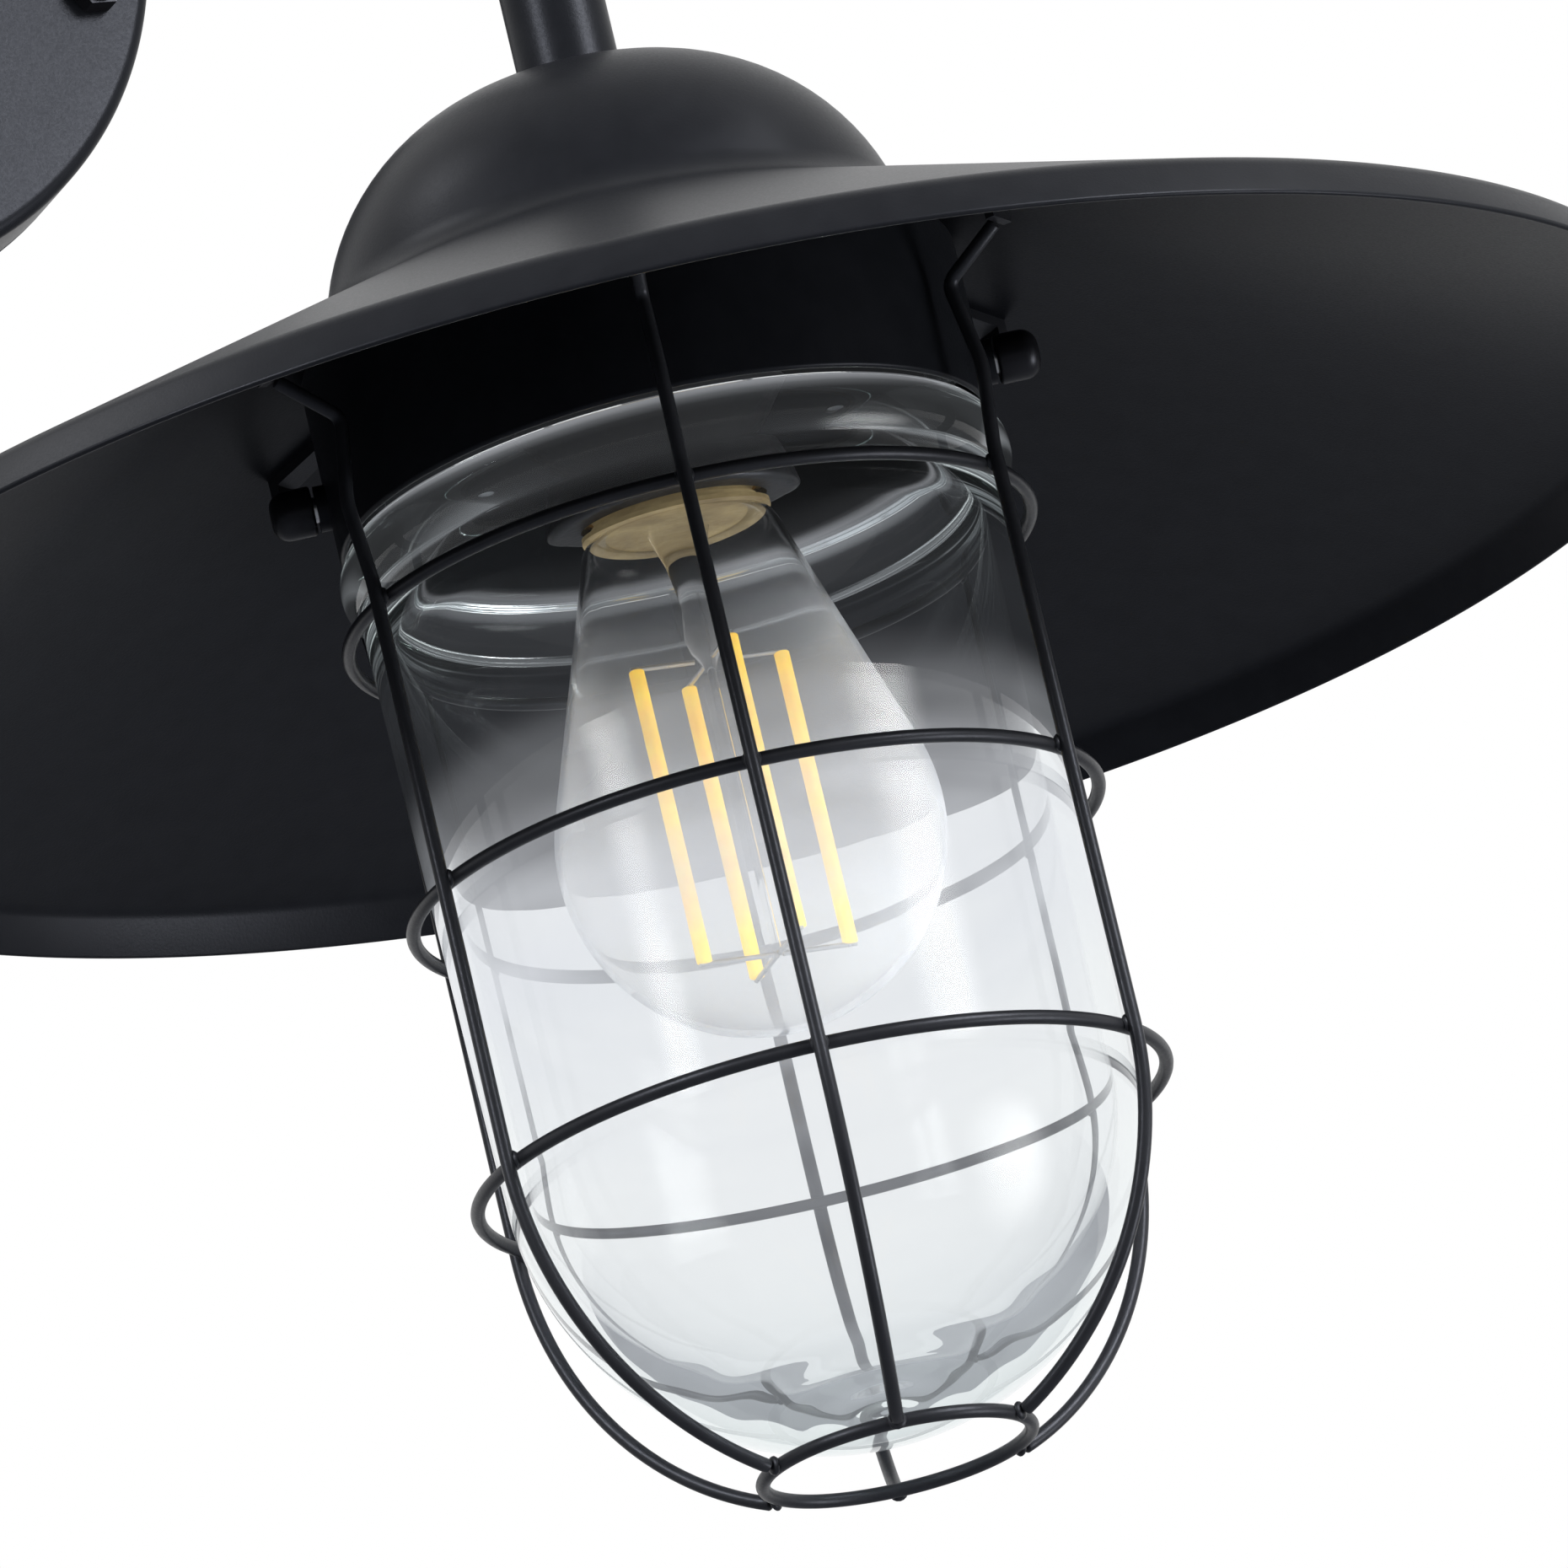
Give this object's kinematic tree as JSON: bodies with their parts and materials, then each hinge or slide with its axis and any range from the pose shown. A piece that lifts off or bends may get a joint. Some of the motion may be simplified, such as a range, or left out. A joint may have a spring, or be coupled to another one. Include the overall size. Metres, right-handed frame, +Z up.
{
  "type": "outdoor wall lamp",
  "caption": "Outdoor wall lamp: bent tube arm from a round wall plate, black spun shade, and a clear glass jar in a wire cage around a filament bulb.",
  "frame": {"origin": "middle of the two wall fixings, on the wall plane", "axes": "+Z up, the lamp reaches out of the wall along -Y, +X to the right seen from the room"},
  "size_m": [0.3185, 0.4666, 0.4486],
  "materials": {
    "powder_black": "satin powder coat",
    "gloss_black": "gloss",
    "rubber_black": "matte",
    "zinc_steel": "zinc plated",
    "brass": "satin",
    "socket_black": "satin",
    "terminal_white": "matte",
    "insulation_brown": "matte",
    "insulation_blue": "matte",
    "jar_glass": "clear",
    "bulb_glass": "clear",
    "cap_gold": "satin",
    "insulator_black": "gloss",
    "solder": "satin",
    "filament_yellow": "matte",
    "lead_wire": "satin"
  },
  "bodies": {
    "fixture": {"wall_plate": "powder_black", "wall_gasket": "rubber_black", "mounting_bracket": "zinc_steel", "mounting_studs": "zinc_steel", "plate_cap_nuts": "gloss_black", "cable_grommet": "rubber_black", "terminal_block": "terminal_white", "terminal_screws": "brass", "earth_screw": "brass", "arm_tube": "powder_black", "arm_collar": "powder_black", "arm_lock_nut": "zinc_steel", "arm_end_insert": "zinc_steel", "threaded_nipple": "zinc_steel", "nipple_nuts": "zinc_steel", "shade_seal": "rubber_black", "shade": "powder_black", "hanger": "zinc_steel", "hanger_screws": "zinc_steel", "glass_holder": "powder_black", "screw_bosses": "powder_black", "jar_gasket": "rubber_black", "cage_clips": "powder_black", "lampholder_body": "socket_black", "lampholder_shell": "brass", "centre_contact": "brass", "lampholder_terminals": "brass", "lampholder_screws": "zinc_steel", "live_conductor": "insulation_brown", "neutral_conductor": "insulation_blue"},
    "jar": {"glass_jar": "jar_glass"},
    "cage": {"cage_wire_1": "powder_black", "cage_wire_2": "powder_black", "cage_wire_3": "powder_black", "cage_wire_4": "powder_black", "cage_wire_5": "powder_black", "cage_wire_6": "powder_black", "cage_ring_top": "powder_black", "cage_ring_middle": "powder_black", "cage_ring_lower": "powder_black", "cage_ring_foot": "powder_black"},
    "bulb_base": {"bulb_cap": "cap_gold", "bulb_insulator": "insulator_black", "bulb_tip_contact": "solder"},
    "bulb_envelope": {"bulb_glass": "bulb_glass", "bulb_stem": "bulb_glass", "bulb_filaments": "filament_yellow", "bulb_leads": "lead_wire"},
    "screw_left": {"thumbscrew_stud_left": "zinc_steel"},
    "knob_left": {"thumbscrew_knob_left": "gloss_black"},
    "screw_right": {"thumbscrew_stud_right": "zinc_steel"},
    "knob_right": {"thumbscrew_knob_right": "gloss_black"}
  },
  "joints": [
    {"name": "jar_lower", "type": "slide", "parent": "fixture", "child": "jar", "axis": [0, 0, -1], "range_m": [0, 0.13]},
    {"name": "cage_lower", "type": "slide", "parent": "jar", "child": "cage", "axis": [0, 0, -1], "range_m": [0, 0.16]},
    {"name": "bulb_travel", "type": "slide", "parent": "fixture", "child": "bulb_base", "axis": [0, 0, -1], "range_m": [0, 0.02541]},
    {"name": "bulb_turn", "type": "hinge", "parent": "bulb_base", "child": "bulb_envelope", "pos_m": [0, -0.3074, -0.2596], "axis": [0, 0, -1], "range_deg": [0, 2520]},
    {"name": "screw_left_travel", "type": "slide", "parent": "fixture", "child": "screw_left", "axis": [-0.9205, 0.3907, 0], "range_m": [0, 0.0035]},
    {"name": "screw_left_turn", "type": "hinge", "parent": "screw_left", "child": "knob_left", "pos_m": [-0.05247, -0.28513, -0.1927], "axis": [-0.9205, 0.3907, 0], "range_deg": [0, 1800]},
    {"name": "screw_right_travel", "type": "slide", "parent": "fixture", "child": "screw_right", "axis": [0.9205, -0.3907, 0], "range_m": [0, 0.0035]},
    {"name": "screw_right_turn", "type": "hinge", "parent": "screw_right", "child": "knob_right", "pos_m": [0.05247, -0.32967, -0.1927], "axis": [0.9205, -0.3907, 0], "range_deg": [0, 1800]}
  ],
  "couplings": [
    {"joint": "bulb_travel", "follows": "bulb_turn", "m_per_rad": 0.00057773},
    {"joint": "screw_left_turn", "follows": "screw_left_travel", "rad_per_m": 8976},
    {"joint": "screw_right_turn", "follows": "screw_right_travel", "rad_per_m": 8976}
  ]
}
